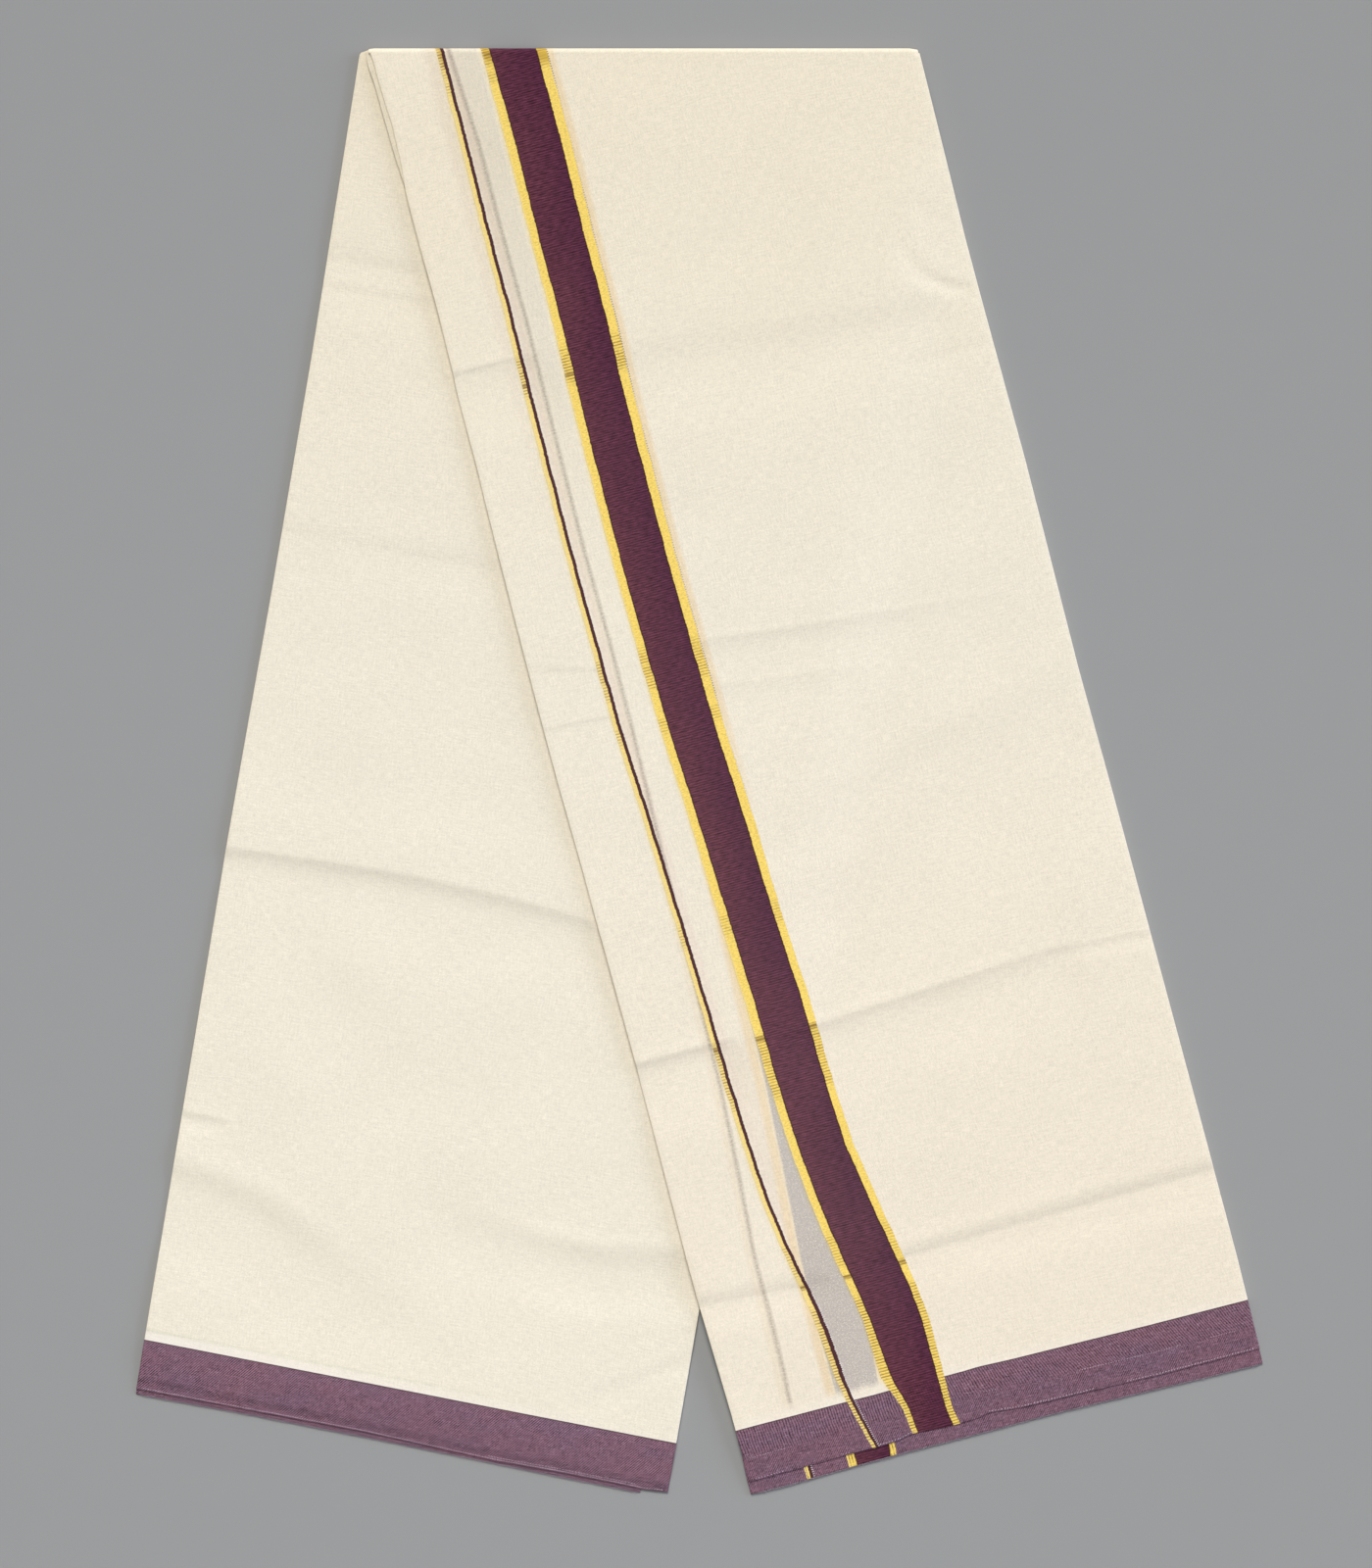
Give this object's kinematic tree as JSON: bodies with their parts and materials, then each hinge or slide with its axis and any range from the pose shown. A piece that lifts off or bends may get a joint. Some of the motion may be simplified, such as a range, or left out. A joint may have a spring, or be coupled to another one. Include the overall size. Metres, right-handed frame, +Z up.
{
  "type": "dhoti cloth",
  "caption": "Cream cotton dhoti folded lengthwise into a strip, turned over once and laid flat as a leaning V, with a woven maroon and gold side border and dark end bands.",
  "frame": {"origin": "middle of the bounding box, on the surface the folded cloth lies on", "axes": "+Y towards the turned edge that joins the two halves, +Z up out of the side that shows, +X towards the free end of the front half"},
  "size_m": [0.7922, 1.0166, 0.007],
  "materials": {
    "cream_cotton": "matt plain weave",
    "end_band": "matt ribbed weave"
  },
  "bodies": {
    "root": {"front_fall": "cream_cotton", "front_end_band": "end_band", "front_under_fall": "cream_cotton", "front_under_end_band": "end_band", "front_inner_folds": "cream_cotton", "top_turn": "cream_cotton", "inner_turn": "cream_cotton", "back_fall": "cream_cotton", "back_end_band": "end_band", "back_inner_folds": "cream_cotton", "back_under_end_band": "end_band"}
  },
  "joints": []
}
